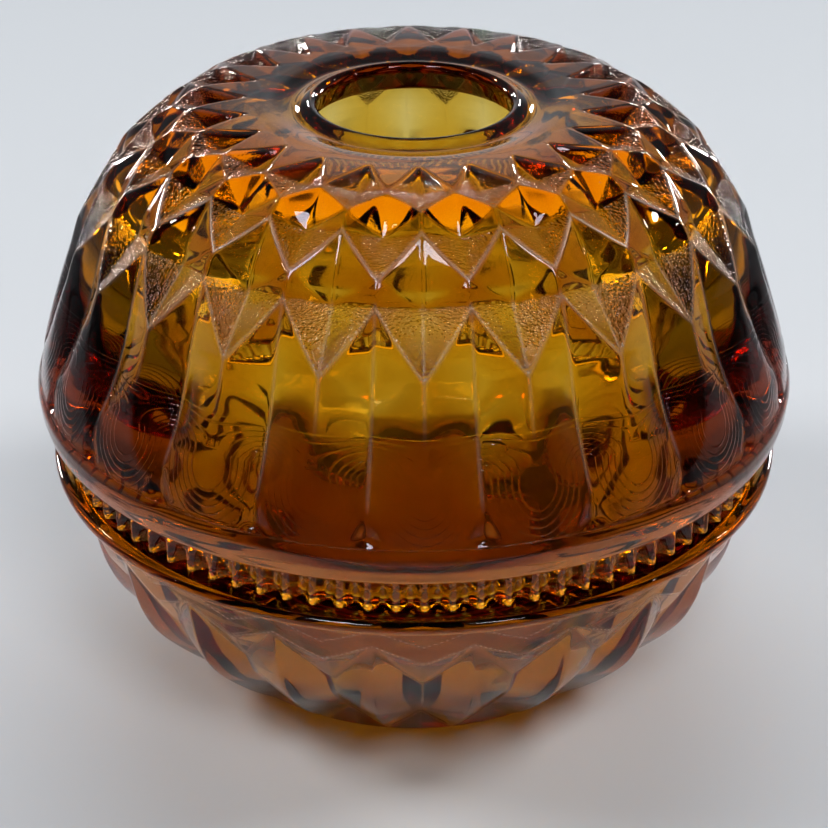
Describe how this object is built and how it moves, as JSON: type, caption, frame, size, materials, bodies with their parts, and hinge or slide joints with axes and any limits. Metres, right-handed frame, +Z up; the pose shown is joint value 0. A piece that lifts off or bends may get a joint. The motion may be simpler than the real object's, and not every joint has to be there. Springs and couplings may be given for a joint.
{
  "type": "lidded globe jar",
  "caption": "Pressed glass globe jar: a round flanged bowl with a domed lid, open at the crown, covered in staggered V-cut diamonds and flutes.",
  "frame": {"origin": "centre of the bowl's foot ring, on the surface the jar stands on", "axes": "+Z up along the axis of the jar; -Y faces a mitre cut of the lid's lowest row of diamonds"},
  "size_m": [0.135, 0.1354, 0.1063],
  "materials": {
    "bowl_glass": "fire-polished pressed amber glass",
    "lid_glass": "fire-polished pressed amber glass"
  },
  "bodies": {
    "bowl": {"base_bowl": "bowl_glass"},
    "lid": {"dome_lid": "lid_glass"}
  },
  "joints": [
    {"name": "lid_lift", "type": "slide", "parent": "bowl", "child": "lid", "axis": [0, 0, 1], "range_m": [0, 0.08]}
  ]
}
